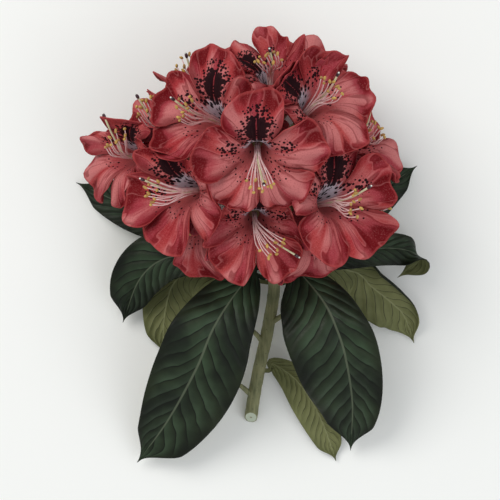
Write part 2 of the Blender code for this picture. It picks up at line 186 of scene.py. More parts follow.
def pressVertices(mesh, planes, clear, depthRule, turn):  # once with a slide, then three short times
    points = np.array([v.co for v in mesh.verts])
    planes = [(np.array(normal), distance) for normal, distance in planes]
    depth = depthRule(points)
    points = pressed(points, planes, clear, depth, np.array(turn))
    for _ in range(3):
        points = pressed(points, planes, clear, np.maximum(0.25 * depth, 2 * clear), np.zeros(3))
    for vertex, point in zip(mesh.verts, points):
        vertex.co = point


# Shader helpers

def addNode(tree, kind, inputs=None, **settings):  # an input is another node's output or a constant
    made = tree.nodes.new(kind)
    for name, value in settings.items():
        setattr(made, name, value)
    for name, value in (inputs or {}).items():
        socket = made.inputs[name]
        if isinstance(value, bpy.types.NodeSocket):
            tree.links.new(value, socket)
        else:
            socket.default_value = (*value, 1) if socket.type == "RGBA" else value
    return made


def calc(tree, operation, *values):
    return addNode(tree, "ShaderNodeMath", dict(enumerate(values)), operation=operation).outputs[0]


def times(tree, first, second):
    return calc(tree, "MULTIPLY", first, second)


def ramp(tree, value, fromLow, fromHigh, toLow=0.0, toHigh=1.0):
    inputs = {"Value": value, "From Min": fromLow, "From Max": fromHigh, "To Min": toLow, "To Max": toHigh}
    return addNode(tree, "ShaderNodeMapRange", inputs, interpolation_type="SMOOTHSTEP").outputs["Result"]


def noiseAt(tree, place, scale, detail):
    inputs = {"Vector": place, "Scale": scale, "Detail": detail}
    return addNode(tree, "ShaderNodeTexNoise", inputs).outputs[0]


def mapPlace(tree, name):  # a place on one of the piece's own maps, whole and as its two numbers
    place = addNode(tree, "ShaderNodeUVMap", uv_map=name).outputs[0]
    x, y, _ = addNode(tree, "ShaderNodeSeparateXYZ", {"Vector": place}).outputs
    return place, x, y


def mixColour(tree, share, first, second):  # sockets 0, 6 and 7 are the share and the two colours
    return addNode(tree, "ShaderNodeMix", {0: share, 6: first, 7: second}, data_type="RGBA").outputs[2]


def layered(tree, colour, *layers):  # each layer is where it shows, how strongly, and its colour
    for shown, strength, tint in layers:
        shown = shown if strength == 1 else times(tree, shown, strength)
        colour = mixColour(tree, shown, colour, tint)
    return colour


def newMaterial(name, colour, roughness, specular=0.5):
    made = bpy.data.materials.new(name)
    made.use_nodes = True
    made.diffuse_color = (*colour, 1)
    shader = made.node_tree.nodes["Principled BSDF"]
    shader.inputs["Base Color"].default_value = (*colour, 1)
    shader.inputs["Roughness"].default_value = roughness
    shader.inputs["Specular IOR Level"].default_value = specular
    return made, made.node_tree, shader


def dress(tree, shader, colour, height, distance, strength):  # gives a skin its colour and its bumps
    bump = addNode(tree, "ShaderNodeBump", {"Height": height, "Distance": distance, "Strength": strength})
    tree.links.new(colour, shader.inputs["Base Color"])
    tree.links.new(bump.outputs["Normal"], shader.inputs["Normal"])


def openGroup(name, **inputs):
    group = bpy.data.node_groups.new(name, "ShaderNodeTree")
    for label, value in inputs.items():
        socket = group.interface.new_socket(label, in_out="INPUT", socket_type="NodeSocketFloat")
        socket.default_value = value
    return group, group.nodes.new("NodeGroupInput").outputs


def closeGroup(group, **outputs):
    for label in outputs:
        group.interface.new_socket(label, in_out="OUTPUT", socket_type="NodeSocketFloat")
    result = group.nodes.new("NodeGroupOutput").inputs
    for label, value in outputs.items():
        group.links.new(value, result[label])
    return group


def useGroup(tree, group, **inputs):
    return addNode(tree, "ShaderNodeGroup", inputs, node_tree=group).outputs


def makeMottleGroup():  # soft uneven tint over the surface, with a fine grain for bumps
    group, given = openGroup("mottle", Size=60.0, Grain=900.0)
    place = addNode(group, "ShaderNodeTexCoord").outputs["Object"]
    patch = noiseAt(group, place, given["Size"], 3.0)
    fine = noiseAt(group, place, given["Grain"], 2.0)
    return closeGroup(group, Patch=ramp(group, patch, 0.3, 0.7), Fine=fine)


mottle = makeMottleGroup()


def mottledSkin(name, plain, first, second, roughness, size, grain, distance, strength):
    made, tree, shader = newMaterial(name, plain, roughness)
    tint = useGroup(tree, mottle, Size=size, Grain=grain)
    dress(tree, shader, mixColour(tree, tint["Patch"], first, second), tint["Fine"], distance, strength)
    return made


# The stem

stem = dict(
    path=((0, -98), (2.2, -82.5), (5, -67), (8.8, -50), (11, -38), (13.2, -24), (13, -10), (10.5, 8),
          (7.5, 28), (5, 50)),
    footHeight=5.0, rise=0.317, cutPlace=(0, -95), cutSlope=50, cutRim=0.45, radiusFoot=3.6, radiusTop=3.0,
    hubRadius=8.5, hubUneven=0.5, hubSunk=0.4, sides=40, rows=190, ridge=0.10, ring=0.22, grain=0.16,
    stalks=((-54, 152, 9.0), (-41, 12, 12.0), (-84, 160, 10.0)), stalkTilt=62, stalkLean=0.4,
    stalkRadius=1.75, stalkTaper=0.6, stalkRounding=0.35, buds=((-50, 70), (-81, 120)), budTilt=60,
    budLean=0.9, budStand=1.2, budWidth=4.4, budLength=8.0, budNarrow=0.45, budRing=0.06)


def stemAxis(count=40):
    points = [(x, y, stem["footHeight"] + stem["rise"] * (y - stem["cutPlace"][1])) for x, y in stem["path"]]
    return smoothPath(points, count)


stemLine = stemAxis()
hub = stemLine[-1]


def stemRadius(share):
    return stem["radiusFoot"] + (stem["radiusTop"] - stem["radiusFoot"]) * share


def stemNear(place):  # the nearest point of the stem's line, its direction and its radius there
    index = min(range(len(stemLine)), key=lambda i: (stemLine[i] - place).length)
    return stemLine[index], aheadAt(stemLine, index), stemRadius(index / (len(stemLine) - 1))


def stemAt(y):
    return stemNear(min(stemLine, key=lambda p: abs(p.y - y)))


cutFoot, cutAhead, _ = stemNear(Vector((*stem["cutPlace"], stem["footHeight"])))


def barkRelief(point, around, share):  # shallow lengthwise ridges, a few rings and fine grain
    ridges = stem["ridge"] * math.sin(11 * around + 5 * noise.noise(point * 0.08))
    rings = stem["ring"] * max(0.0, noise.noise(Vector((share * 70, 0, 0)))) ** 2
    grain = stem["grain"] * noise.noise(Vector((math.cos(around) * 3, math.sin(around) * 3, share * 60)))
    return ridges + rings + grain


def makeStem():
    body = bmesh.new()
    line = stemAxis(stem["rows"] + 1)
    frames = carriedFrames(line)

    def placed(co):
        share = co.z + 0.5
        point, across, upward, _ = frames[round(share * stem["rows"])]
        out = (co.x * across + co.y * upward).normalized()
        around = math.atan2(co.y, co.x)
        return point + out * (stemRadius(share) + barkRelief(point, around, share))
    stamp(body, tubeShape(stem["sides"], stem["rows"]), placed)
    ball = ballShape(32, 22)
    stamp(body, ball, lambda co: hub + co * (stem["hubRadius"] + stem["hubUneven"] * noise.noise(co * 4)
                                             - stem["hubSunk"]))
    rod = tubeShape(12, 8)
    for y, turn, length in stem["stalks"]:
        near, ahead, thick = stemAt(y)
        out = (direction(turn, stem["stalkTilt"]) + stem["stalkLean"] * ahead).normalized()
        end = near + (thick + length) * out
        sweep(body, rod, smoothPath([near, near.lerp(end, 0.6) + 0.3 * ahead, end], 9),
              lambda share: (stem["stalkRadius"] - stem["stalkTaper"] * share)
              * (1 - stem["stalkRounding"] * smoothStep(0.93, 1, share)))
    smallBall = ballShape(16, 12)
    for y, turn in stem["buds"]:
        near, ahead, thick = stemAt(y)
        out = (direction(turn, stem["budTilt"]) + stem["budLean"] * ahead).normalized()
        turned = out.to_track_quat("Z", "Y")
        middle = near + (thick + stem["budStand"]) * out

        def budPoint(co):
            narrow = 1 - stem["budNarrow"] * max(0.0, co.z) ** 1.5
            half = narrow * (1 + stem["budRing"] * math.sin(9 * co.z)) * stem["budWidth"] / 2
            return middle + turned @ Vector((co.x * half, co.y * half, co.z * stem["budLength"] / 2))
        stamp(body, smallBall, budPoint, 2)
    face = Matrix.Rotation(-math.radians(stem["cutSlope"]), 3, "X") @ -cutAhead
    cut = bmesh.ops.bisect_plane(body, geom=[*body.verts, *body.edges, *body.faces],
                                 plane_co=cutFoot, plane_no=face, clear_outer=True)
    rim = [item for item in cut["geom_cut"] if isinstance(item, bmesh.types.BMEdge)]
    wood = bmesh.ops.contextual_create(body, geom=rim)["faces"]
    bmesh.ops.recalc_face_normals(body, faces=body.faces)
    bmesh.ops.inset_region(body, faces=wood, thickness=stem["cutRim"])
    for part in wood:
        part.material_index = 1
        part.smooth = False
    budSkin = mottledSkin("budSkin", (0.20, 0.16, 0.06), (0.10, 0.11, 0.045), (0.27, 0.25, 0.12), 0.5,
                          260.0, 1500.0, 0.0002, 0.5)
    addPiece("stem_bark", body, [makeBark(), makeCutWood(), budSkin], "stem")


def makeBark():
    made, tree, shader = newMaterial("bark", (0.15, 0.16, 0.07), 0.7)
    tint = useGroup(tree, mottle, Size=70.0, Grain=700.0)
    place = addNode(tree, "ShaderNodeTexCoord").outputs["Object"]
    drawn = addNode(tree, "ShaderNodeMapping", {"Vector": place, "Scale": (1.0, 0.10, 0.3)})
    streak = noiseAt(tree, drawn.outputs[0], 900.0, 4.0)
    flecks = addNode(tree, "ShaderNodeTexVoronoi", {"Vector": place, "Scale": 420.0}).outputs["Distance"]
    colour = layered(tree, (0.105, 0.115, 0.047),
                     (tint["Patch"], 1, (0.215, 0.215, 0.100)),
                     (ramp(tree, streak, 0.35, 0.68), 0.5, (0.33, 0.32, 0.17)),
                     (ramp(tree, flecks, 0.22, 0.10), 0.55, (0.055, 0.050, 0.028)))
    tree.links.new(ramp(tree, streak, 0.2, 0.8, 0.6, 0.85), shader.inputs["Roughness"])
    dress(tree, shader, colour, calc(tree, "ADD", streak, times(tree, tint["Fine"], 0.5)), 0.0004, 0.6)
    return made


def makeCutWood():
    made, tree, shader = newMaterial("cutWood", (0.52, 0.58, 0.46), 0.8)
    place = addNode(tree, "ShaderNodeTexCoord").outputs["Object"]
    middle = addNode(tree, "ShaderNodeVectorMath", {0: place, 1: (cutFoot + shift) * metres},
                     operation="DISTANCE").outputs["Value"]
    ring = calc(tree, "SINE", times(tree, middle, 9000.0))
    grain = noiseAt(tree, place, 1600.0, 3.0)
    colour = layered(tree, (0.52, 0.58, 0.46),
                     (ramp(tree, ring, -1, 1, 0.0, 0.45), 1, (0.36, 0.40, 0.28)),
                     (ramp(tree, grain, 0.4, 0.7, 0.0, 0.4), 1, (0.62, 0.66, 0.55)),
                     (ramp(tree, middle, 0.0009, 0.0006), 1, (0.25, 0.24, 0.14)))  # the pith
    dress(tree, shader, colour, grain, 0.0002, 0.4)
    return made


makeStem()
print("stem made")

# The collar is the sloping plane between the truss above it and the leaves below it
collarPoint = Vector((0, -16, 44))
collarNormal = Vector((0, 0.447, 0.894))
floorPlane = (Vector((0, 0, -1)), 0.0)
gap = 0.3

# The leaves. Each has the place along the stem that it leaves, its midrib, its left and its right side as
# seen along it (width, share of its length where that is widest, fullness below 1), its bank at the base and
# the tip and how far its end is twisted over, whether its underside is up, and the side whose margin rolls
# over, if any
leafForm = dict(
    thickness=0.55, cadThickness=1.4, columns=30, rows=96, stalkStand=0.2, stalkOut=4.0, stalkHalf=1.2,
    stalkShare=0.08, tipNarrow=0.93, tipStart=0.86, pressDepth=4.0, uprightLimit=0.3, relax=0.7, lift=0.10,
    wave=0.9, waves=17, quilt=0.45, quiltWidth=0.35, groove=0.6, grooveWidth=0.9, twistStart=0.70,
    twistEnd=0.90, rollStart=0.62, rollRadius=1.5,
    veinPairs=15.0, veinSweep=2.6, veinBow=0.85, veinShift=0.4, veinStray=0.6)
leaves = {
    "leaf_front_left": dict(
        station=-4, midrib=((3.5, -10, 39), (-8.3, -24, 47), (-20.4, -43.5, 51), (-29.7, -65.5, 44),
                            (-45.7, -94.6, 24), (-63.5, -119.5, 7)),
        left=(25, 0.52, 0.50), right=(22, 0.42, 0.75), bank=(0, 8, 0)),
    "leaf_front_right": dict(
        station=-9, midrib=((22, -8, 35.5), (31, -16, 42), (41.2, -29, 48.5), (47.3, -42, 51.5),
                            (52.5, -58, 48), (57, -85, 29), (56.5, -112.5, 9)),
        left=(17.5, 0.50, 0.60), right=(28.5, 0.38, 0.72), bank=(0, -6, 0)),
    "leaf_right_mid": dict(
        station=-12, midrib=((36, -7, 30), (56, -2, 26), (74, 1, 20), (89, -0.5, 17), (95, -6, 14),
                             (83, -15.5, 8)),
        left=(7.5, 0.55, 0.68), right=(8.5, 0.55, 0.68), bank=(0, 0, 165)),
    "leaf_right_low": dict(
        station=-17, midrib=((36, -10, 23), (58.6, -12.3, 18), (67.8, -20.2, 16), (79, -29.2, 13),
                             (86.6, -37.1, 9), (92.4, -52.4, 3)),
        left=(11, 0.56, 0.68), right=(16, 0.56, 0.68), bank=(-10, -10, 0), under=True, rolls=-1),
    "leaf_right_top": dict(
        station=-5, midrib=((34, 4, 25), (58, 20, 18), (75, 34, 12), (94, 47.3, 6)),
        left=(13, 0.52, 0.68), right=(11.5, 0.52, 0.68), bank=(0, 0, 0)),
    "leaf_left_top": dict(
        station=-9, midrib=((-14, 2, 25), (-38, 13, 19), (-67, 24, 12), (-98, 38, 4)),
        left=(12, 0.58, 0.68), right=(12, 0.58, 0.68), bank=(0, 0, 0)),
    "leaf_left_mid": dict(
        station=-14, midrib=((-10, -7, 32), (-28, -3, 31), (-48, -5, 28), (-62, -17, 21), (-71.5, -40.7, 8)),
        left=(12, 0.58, 0.68), right=(15.5, 0.58, 0.68), bank=(0, 10, 0)),
    "leaf_left_low": dict(
        station=-20, midrib=((-11, -15, 18), (-30, -12, 13), (-43, -19, 9), (-48.5, -40, 6),
                             (-47.9, -60.5, 3)),
        left=(14, 0.56, 0.68), right=(13, 0.56, 0.68), bank=(0, 0, 0), under=True),
    "leaf_lower": dict(
        station=-67, midrib=((13, -64, 9.5), (24.8, -72, 10), (34, -84, 8.5), (41.5, -99, 6),
                             (48.5, -119, 3)),
        left=(11.5, 0.50, 0.68), right=(10.5, 0.50, 0.68), bank=(0, 0, 0), under=True, rolls=-1),
}


def leafFrames(points):  # each point of the midrib with the leaf's side and the normal of its upper face
    frames = []
    normal = Vector((0, 0, 1))
    for index, point in enumerate(points):
        ahead = aheadAt(points, index)
        normal = (normal - normal.dot(ahead) * ahead).normalized()
        upright = Vector((0, 0, 1)) - ahead.z * ahead
        if upright.dot(normal) > leafForm["uprightLimit"]:
            relax = 1 - (1 - leafForm["relax"]) ** (15 / leafForm["rows"])
            normal = normal.lerp(upright.normalized(), relax).normalized()
        frames.append((point, ahead.cross(normal), normal))
    return frames


def leafWidth(share, side):
    width, widest, fullness = side
    power = math.log(0.5) / math.log(widest)
    return width * max(0.0, math.sin(math.pi * share ** power)) ** fullness


def makeLeaf(number, name, leaf, materials):
    form, rows = leafForm, leafForm["rows"]
    near, ahead, stemThick = stemAt(leaf["station"])
    out = Vector(leaf["midrib"][0]) - near
    out = (out - out.dot(ahead) * ahead).normalized()
    start = near + (stemThick + form["stalkStand"]) * out
    frames = leafFrames(smoothPath([start, start + form["stalkOut"] * out, *leaf["midrib"]], rows + 1))
    blade = bmesh.new()
    made = bmesh.ops.create_grid(blade, x_segments=form["columns"], y_segments=rows, size=1)
    leafMap = blade.loops.layers.uv.new("leafMap")
    for face in blade.faces:
        face.smooth = True
        for loop in face.loops:
            loop[leafMap].uv = (loop.vert.co.x, (loop.vert.co.y + 1) / 2)
    up = -1 if leaf.get("under") else 1
    for vertex in made["verts"]:
        across, along = vertex.co.x, (vertex.co.y + 1) / 2
        point, side, normal = frames[round(along * rows)]
        share = max(0.0, (along - form["stalkShare"]) / (1 - form["stalkShare"]))
        half = form["stalkHalf"] + leafWidth(share, leaf["left"] if across < 0 else leaf["right"])
        half *= 1 - form["tipNarrow"] * smoothStep(form["tipStart"], 1.0, along)
        bankBase, bankTip, twist = leaf["bank"]
        turned = twist * smoothStep(form["twistStart"], form["twistEnd"], along)
        bank = math.radians(bankBase + (bankTip - bankBase) * along + turned)
        blown = smoothStep(0.03, 0.2, along) * (1 - smoothStep(0.9, 1.0, along))  # none at either end
        width, raised = across * half, 0.0
        if across * leaf.get("rolls", 0) > form["rollStart"]:
            bend = (abs(across) - form["rollStart"]) * half / form["rollRadius"]
            width = leaf["rolls"] * (form["rollStart"] * half + form["rollRadius"] * math.sin(bend))
            raised = form["rollRadius"] * (1 - math.cos(bend))
        lift = math.sin(bank) * width + form["lift"] * abs(width) + raised
        swing = math.sin(form["waves"] * along + 2.1 * number + 1.5 * across)
        lift += form["wave"] * blown * across * across * swing
        phase = form["veinPairs"] * along - form["veinSweep"] * abs(across) ** form["veinBow"]
        phase += form["veinShift"] * (across > 0)
        veinNear = abs(phase - round(phase))
        quilted = (1 - across ** 4) * smoothStep(0, form["quiltWidth"], veinNear)
        lift += up * form["quilt"] * blown * quilted
        lift -= up * form["groove"] * math.exp(-(across * half / form["grooveWidth"]) ** 2) * blown
        vertex.co = point + math.cos(bank) * width * side + lift * normal
    clear = gap / 2 + form["cadThickness"] / 2
    planes = [(collarNormal, collarNormal.dot(collarPoint)), floorPlane]
    pressVertices(blade, planes, clear, lambda points: np.full(len(points), form["pressDepth"]),
                  Vector((0, 0, 0)))
    if leaf.get("under"):  # the sheet's first material is on the side that is up
        materials = materials[::-1]
    thicken(addPiece(name + "_blade", blade, materials, name), form["thickness"])


def makeVeinGroup():  # a leaf's midrib and side veins, from its own map: across -1 to 1, along 0 to 1
    group, _ = openGroup("leafVeins")
    place, across, along = mapPlace(group, "leafMap")
    stray = calc(group, "SUBTRACT", noiseAt(group, place, 3.0, 1.0), 0.5)
    out = calc(group, "ABSOLUTE", across)
    bent = times(group, calc(group, "POWER", out, leafForm["veinBow"]), leafForm["veinSweep"])
    phase = calc(group, "SUBTRACT", times(group, along, leafForm["veinPairs"]), bent)
    phase = calc(group, "ADD", phase, times(group, stray, leafForm["veinStray"]))
    onRight = calc(group, "GREATER_THAN", across, 0.0)
    phase = calc(group, "ADD", phase, times(group, onRight, leafForm["veinShift"]))
    near = calc(group, "PINGPONG", phase, 0.5)
    fade = ramp(group, out, 0.96, 0.55)
    return closeGroup(
        group, Midrib=ramp(group, out, 0.036, 0.014), Vein=times(group, ramp(group, near, 0.058, 0.020), fade),
        # Flank lightens the blade from one vein towards the next: a painted sheen on the quilted leaf
        Flank=times(group, calc(group, "FRACT", phase), fade),
        Height=times(group, ramp(group, near, 0.0, 0.4), ramp(group, out, 0.02, 0.25)))


leafVeins = makeVeinGroup()


def makeLeafUpper():
    made, tree, shader = newMaterial("leafUpper", (0.012, 0.018, 0.010), 0.42, 0.16)
    veins = useGroup(tree, leafVeins)
    tint = useGroup(tree, mottle, Size=45.0, Grain=1100.0)
    # A painted sheen between the veins, stronger where the mottling is light
    paintedSheen = times(tree, veins["Flank"], calc(tree, "ADD", tint["Patch"], 0.35))
    colour = layered(tree, (0.0055, 0.0075, 0.0045), (tint["Patch"], 1, (0.017, 0.024, 0.011)),
                     (paintedSheen, 0.75, (0.046, 0.078, 0.042)), (veins["Vein"], 0.9, (0.0025, 0.0035, 0.0020)),
                     (veins["Midrib"], 0.75, (0.110, 0.130, 0.085)))
    tree.links.new(ramp(tree, tint["Fine"], 0.3, 0.7, 0.38, 0.50), shader.inputs["Roughness"])
    height = calc(tree, "ADD", veins["Height"], times(tree, tint["Fine"], 0.25))
    dress(tree, shader, colour, height, 0.0005, 0.6)
    return made


def makeLeafUnder():
    made, tree, shader = newMaterial("leafUnder", (0.13, 0.14, 0.055), 0.62, 0.2)
    veins = useGroup(tree, leafVeins)
    tint = useGroup(tree, mottle, Size=60.0, Grain=1300.0)
    # The under side also gets the painted sheen between the veins, fainter
    colour = layered(tree, (0.095, 0.104, 0.038), (tint["Patch"], 1, (0.180, 0.190, 0.078)),
                     (veins["Flank"], 0.4, (0.230, 0.240, 0.110)), (veins["Vein"], 0.9, (0.028, 0.030, 0.012)),
                     (veins["Midrib"], 0.8, (0.250, 0.260, 0.130)))
    height = calc(tree, "SUBTRACT", times(tree, tint["Fine"], 0.4), veins["Height"])
    dress(tree, shader, colour, height, 0.0005, 0.6)
    return made


leafSkins = [makeLeafUpper(), makeLeafUnder()]
for number, (name, leaf) in enumerate(leaves.items()):
    makeLeaf(number, name, leaf, leafSkins)
print("leaves made:", len(leaves))

# The blooms. Each has its face's centre, the way it faces (turn in plan, tilt), the turn of its blotched lobe
# and its radius. anthers and stigma are where those show in plan from the throat, in millimetres; a bloom
# without them has stamens of stamenShare of the full length
petals = dict(
    lobes=5, tubeRadius=2.6, tubeAngle=16, rimAngle=100, flareStart=0.20, flareEnd=0.82,
    lengthPerRadius=1.5, split=0.42, edgeDrop=0.33, tipNotch=0.04, notchWidth=0.2, lobeSpread=0.36,
    cupMiddle=-0.05, cupSwing=0.30, cupAcross=0.45, cupAlong=0.55, closing=0.5, keel=0.15, keelShift=0.3,
    keelMiddle=0.45, roll=0.16, rollIn=0.42, rollStart=0.30, shingle=5.6, ruffle=2.4, ruffleTurns=4.6,
    fineRuffle=1.5, fineTurns=11.5, groove=0.9, grooveStart=0.3, grooveEnd=0.6, grooveWidth=0.10,
    thickness=0.5, columns=26, rows=40, pressDepth=0.13, pressTurn=0.45, overlap=5.5, tuck=0.5)
bloomFields = ("face", "facing", "blotch", "radius", "anthers", "stigma", "stamenShare")
blooms = {
    "centre": ((4, 46.5, 114), (-90, 24), 92, 38.5, (1.6, -15.4), (3.3, -14.3)),
    "upper_left": ((-25, 72, 92), (158, 34), 78, 38, (-13.8, 5.0), (-19.3, 9.9)),
    "left": ((-38.5, 30.5, 88), (192, 32), 114, 36, (-17.6, 0), (-22, 6.6)),
    "far_left": ((-71, 52, 63), (176, 42), 60, 31, (-5, 8.3), (-11.5, 21)),
    "left_shoulder": ((-50, 67, 54), (148, 58), 90, 31, (-11, 14), (-15, 19)),
    "top_shoulder": ((-29, 92, 54), (120, 68), 90, 31, (-9, 13), (-8, 18)),
    "top": ((11, 98, 87), (92, 42), 144, 27.5, (-1.6, 7.7), (-0.5, 11.5)),
    "top_right": ((28.5, 99, 70), (72, 60), 60, 32, None, None, 0.1),
    "upper_right": ((37.5, 81.5, 92), (46, 34), 162, 36, (8.3, 8.3), (11.5, 14.3)),
    "right": ((48, 26.5, 88), (10, 30), 94, 38, (11, -1.1), (18.7, 7.7)),
    "far_right": ((63, 62, 58), (35, 66), 110, 33, (9, 7), (7, 18)),
    "right_shoulder": ((61, 24, 50), (-8, 78), 80, 30, (16, 3), (20, 2)),
    "low": ((3.5, 12, 84), (-82, 20), 90, 33.5, (10, -13.2), (22, -17)),
    "low_right": ((38, 5, 66), (-50, 52), 60, 35, None, None, 0.1),
    "low_left": ((-34, 10, 62), (-128, 52), 110, 36, None, None, 0.1),
    "back_left": ((-43, 66, 21), (150, 118), 100, 31),
    "back_top": ((-6, 90, 22), (98, 116), 90, 31),
    "back_right": ((43, 70, 21), (30, 118), 80, 31),
    "back": ((4, 58, 9), (90, 176), 90, 25, None, None, 0.2),
}
blooms = {name: dict(zip(bloomFields, row)) for name, row in blooms.items()}


def petalProfile(length):  # radius and height along a petal as it flares, from the tube's foot to the tip
    steps = 40
    radius, height, profile = petals["tubeRadius"], 0.0, []
    for index in range(steps + 1):
        profile.append((radius, height))
        flare = smoothStep(petals["flareStart"], petals["flareEnd"], (index + 0.5) / steps)
        angle = math.radians(petals["tubeAngle"] + (petals["rimAngle"] - petals["tubeAngle"]) * flare)
        radius += math.sin(angle) * length / steps
        height += math.cos(angle) * length / steps
    return profile


def onProfile(profile, share):
    place = share * (len(profile) - 1)
    index = min(int(place), len(profile) - 2)
    low, high = profile[index], profile[index + 1]
    return [a + (b - a) * (place - index) for a, b in zip(low, high)]


def placeBloom(number, bloom):  # works out where its tube stands, how it is turned and what bounds it
    centre, axis = Vector(bloom["face"]), direction(*bloom["facing"])
    plan = direction(bloom["blotch"], 90)
    up = (plan - plan.dot(axis) * axis).normalized()
    profile = petalProfile(petals["lengthPerRadius"] * bloom["radius"])
    foot = centre - max(height for _, height in profile) * axis
    outward = (centre - hub).normalized()
    near, _, thick = stemNear(foot)
    aside = (foot - near).normalized()
    planes = [floorPlane, (-collarNormal, -collarNormal.dot(collarPoint)),
              (-aside, -aside.dot(near) - thick),
              (-outward, -outward.dot(hub) - stem["hubRadius"] - gap)]
    stalkEnd = hub + (stem["hubRadius"] - 0.5) * outward  # sunk into the knob a little
    bloom.update(number=number, centre=centre, axis=axis, up=up, side=up.cross(axis), profile=profile,
                 foot=foot, outward=outward, reach=math.atan2(bloom["radius"], (centre - hub).length),
                 stalkEnd=stalkEnd, planes=planes)


def partSpaces(listed):  # each pair is parted by a plane through the hub; the higher bloom lies over a little
    for index, first in enumerate(listed):
        for second in listed[index + 1:]:
            turn = first["outward"].rotation_difference(second["outward"])
            share = first["reach"] / (first["reach"] + second["reach"])
            edge = Quaternion(turn.axis, turn.angle * share) @ first["outward"]
            normal = turn.axis.cross(edge).normalized()
            distance = normal.dot(hub)
            over = petals["overlap"] if first["centre"].z > second["centre"].z else -petals["overlap"]
            first["planes"].append((normal, distance + max(over, -petals["tuck"])))
            second["planes"].append((-normal, -distance + max(-over, -petals["tuck"])))


def petalPoint(bloom, lobe, across, along):  # a point of a lobe, and its place on the open face
    p = petals
    reach = 1 - p["edgeDrop"] * abs(across) ** 3
    reach -= p["tipNotch"] * math.exp(-((across / p["notchWidth"]) ** 2))
    share = along * reach
    radius, height = onProfile(bloom["profile"], share)
    free = smoothStep(p["split"], 1.0, share)
    phase = 1.7 * bloom["number"] + 2.3 * lobe  # this and its multiples make each lobe unlike the others
    rolled = 1 if math.sin(4.1 * phase) > 0 else -1
    roll = free * smoothStep(p["rollStart"], 1.0, rolled * across)
    turned = across * (1 + p["lobeSpread"] * free) - p["rollIn"] * rolled * roll
    cup = p["cupMiddle"] + p["cupSwing"] * math.sin(2.3 * phase + 1.0) if lobe else 0.0
    keel = p["keel"] * math.sin(3.7 * phase + 0.6)
    raised = cup * (p["cupAcross"] * across * across + p["cupAlong"] * free)
    raised += keel * (abs(across - p["keelShift"] * math.sin(phase)) - p["keelMiddle"]) + p["roll"] * roll
    height += free * bloom["radius"] * raised
    height += free * (p["shingle"] * across + p["ruffle"] * math.sin(p["ruffleTurns"] * across + phase))
    fine = math.sin(p["fineTurns"] * across + 2.2 * phase + 2.5 * share)
    height += free * free * p["fineRuffle"] * fine
    grooved = smoothStep(p["grooveStart"], p["grooveEnd"], share) * p["groove"]
    height -= grooved * math.exp(-((across / p["grooveWidth"]) ** 2))
    radius *= 1 - p["closing"] * max(0.0, cup) * free * free
    angle = math.radians(90 + 360 / p["lobes"] * (lobe + turned / 2))
    x, y = radius * math.cos(angle), radius * math.sin(angle)
    faceMap = Vector((x, y)) / bloom["radius"]
    return bloom["foot"] + x * bloom["side"] + y * bloom["up"] + height * bloom["axis"], faceMap


def ridgeHeights(mesh):  # how far each vertex stands above the smoothed sheet, in millimetres
    points = np.array([v.co for v in mesh.verts])
    normals = np.array([v.normal for v in mesh.verts])
    ends = np.array([[v.index for v in edge.verts] for edge in mesh.edges])
    both = np.concatenate([ends, ends[:, ::-1]])
    links = np.bincount(both[:, 0], minlength=len(points))[:, None]
    smooth = points.copy()
    for _ in range(36):
        total = [np.bincount(both[:, 0], smooth[both[:, 1], axis], len(points)) for axis in range(3)]
        smooth = 0.4 * smooth + 0.6 * np.stack(total, axis=1) / links
    return ((points - smooth) * normals).sum(axis=1)


def petalDepth(points):  # how deep the soft zone at a plane is, more so away from the hub
    return np.maximum(3 * gap, petals["pressDepth"] * np.linalg.norm(points - hub, axis=1))


def makePetals(name, bloom, materials):
    bell = bmesh.new()
    faceLayer = bell.loops.layers.uv.new("faceMap")
    lobeLayer = bell.loops.layers.uv.new("lobeMap")
    ridgeLayer = bell.verts.layers.float.new("ridge")
    for lobe in range(petals["lobes"]):
        grid = bmesh.ops.create_grid(bell, x_segments=petals["columns"], y_segments=petals["rows"], size=1)
        verts = set(grid["verts"])
        places = {v: petalPoint(bloom, lobe, v.co.x, (v.co.y + 1) / 2) for v in verts}
        for face in {f for v in verts for f in v.link_faces}:
            face.smooth = True
            for loop in face.loops:
                loop[faceLayer].uv = places[loop.vert][1]
                loop[lobeLayer].uv = (loop.vert.co.x + 3 * lobe, (loop.vert.co.y + 1) / 2)
        for vertex, (point, _) in places.items():
            vertex.co = point
    bmesh.ops.remove_doubles(bell, verts=bell.verts, dist=0.01)
    foot = [edge for edge in bell.edges if edge.is_boundary
            and all((v.co - bloom["foot"]).length < 1.1 * petals["tubeRadius"] for v in edge.verts)]
    bmesh.ops.contextual_create(bell, geom=foot)
    facing = sum(face.normal.dot(bloom["axis"]) * face.calc_area() for face in bell.faces)
    pressVertices(bell, bloom["planes"], gap / 2, petalDepth, petals["pressTurn"] * bloom["axis"])
    if facing < 0:
        bmesh.ops.reverse_faces(bell, faces=bell.faces)
    bell.normal_update()
    bell.verts.index_update()
    # Each vertex keeps its ridge height, which the petal colour turns into painted highlight and painted shade
    for vertex, ridge in zip(bell.verts, ridgeHeights(bell)):
        vertex[ridgeLayer] = ridge
    thicken(addPiece("petals_" + name, bell, materials, "bloom_" + name), petals["thickness"])


